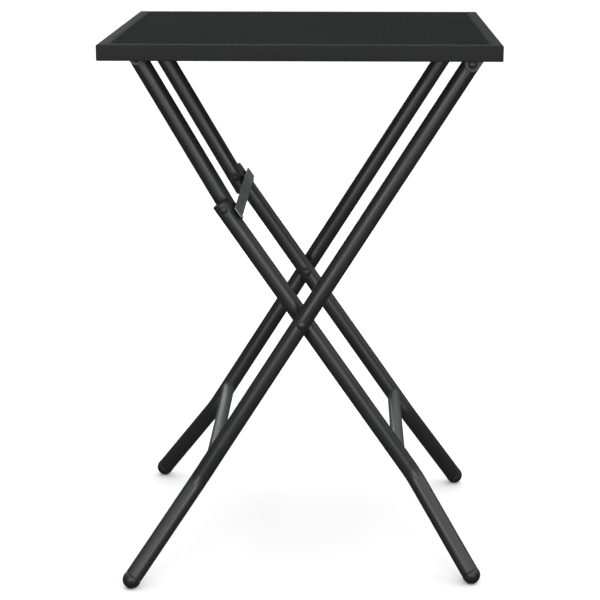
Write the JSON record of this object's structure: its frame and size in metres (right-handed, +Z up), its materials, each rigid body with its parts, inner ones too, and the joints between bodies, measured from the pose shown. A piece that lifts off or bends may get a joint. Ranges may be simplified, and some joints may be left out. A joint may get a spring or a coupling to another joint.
{
  "type": "folding side table",
  "caption": "Square folding side table: a thin framed top on crossed tube legs, with a hinged knuckle in the inner legs and a release bar across the upper struts.",
  "frame": {"origin": "on the floor under the middle of the square top, where the feet stand", "axes": "+Z up, +X towards the side of the top where the outer legs are hinged, -Y the front"},
  "size_m": [0.5, 0.5, 0.72],
  "materials": {
    "powder_coat": "satin charcoal powder coat",
    "panel": "matte charcoal, finely ribbed",
    "bar": "satin grey, worn along its edges",
    "rivets": "satin, domed",
    "black_plastic": "moulded, fine grain",
    "nylon": "moulded, semi-matte"
  },
  "bodies": {
    "outer_frame": {"outer_leg_front": "powder_coat", "outer_leg_rear": "powder_coat", "outer_crossbar": "powder_coat", "outer_foot_front": "black_plastic", "outer_foot_rear": "black_plastic", "outer_leg_plugs": "black_plastic", "leg_pivot_shanks": "rivets", "crossing_rivets": "rivets", "crossing_spacers": "nylon", "crossing_washers": "nylon"},
    "inner_frame": {"inner_leg_front": "powder_coat", "inner_leg_rear": "powder_coat", "inner_crossbar": "powder_coat", "inner_foot_front": "black_plastic", "inner_foot_rear": "black_plastic", "inner_leg_plugs": "black_plastic", "knuckle_rivets": "rivets", "knuckle_spacers": "nylon", "knuckle_washers": "nylon"},
    "upper_struts": {"upper_strut_front": "powder_coat", "upper_strut_rear": "powder_coat", "strut_lower_plugs": "black_plastic", "strut_upper_plugs": "black_plastic", "release_bar": "bar", "bar_bumpers": "black_plastic"},
    "table_top": {"front_rail": "powder_coat", "rear_rail": "powder_coat", "left_rail": "powder_coat", "right_rail": "powder_coat", "ribbed_panel": "panel", "panel_stiffener_left": "powder_coat", "panel_stiffener_right": "powder_coat", "leg_bracket_front": "powder_coat", "leg_bracket_rear": "powder_coat", "strut_bracket_front": "powder_coat", "strut_bracket_rear": "powder_coat", "leg_pivot_heads": "rivets", "leg_pivot_washers": "nylon", "strut_pivot_rivets": "rivets", "strut_pivot_washers": "nylon"}
  },
  "joints": [
    {"name": "leg_scissor", "type": "hinge", "parent": "outer_frame", "child": "inner_frame", "pos_m": [0.0008, 0, 0.349], "axis": [0, 1, 0], "range_deg": [0, 61]},
    {"name": "knuckle", "type": "hinge", "parent": "inner_frame", "child": "upper_struts", "pos_m": [-0.10122, 0, 0.496], "axis": [0, -1, 0], "range_deg": [0, 138.95]},
    {"name": "strut_hinge", "type": "hinge", "parent": "upper_struts", "child": "table_top", "pos_m": [-0.2149, 0, 0.6905], "axis": [0, 1, 0], "range_deg": [0, 42.3]}
  ],
  "couplings": [
    {"joint": "knuckle", "follows": "leg_scissor", "ratio": 2.2772},
    {"joint": "strut_hinge", "follows": "leg_scissor", "ratio": 0.693}
  ]
}
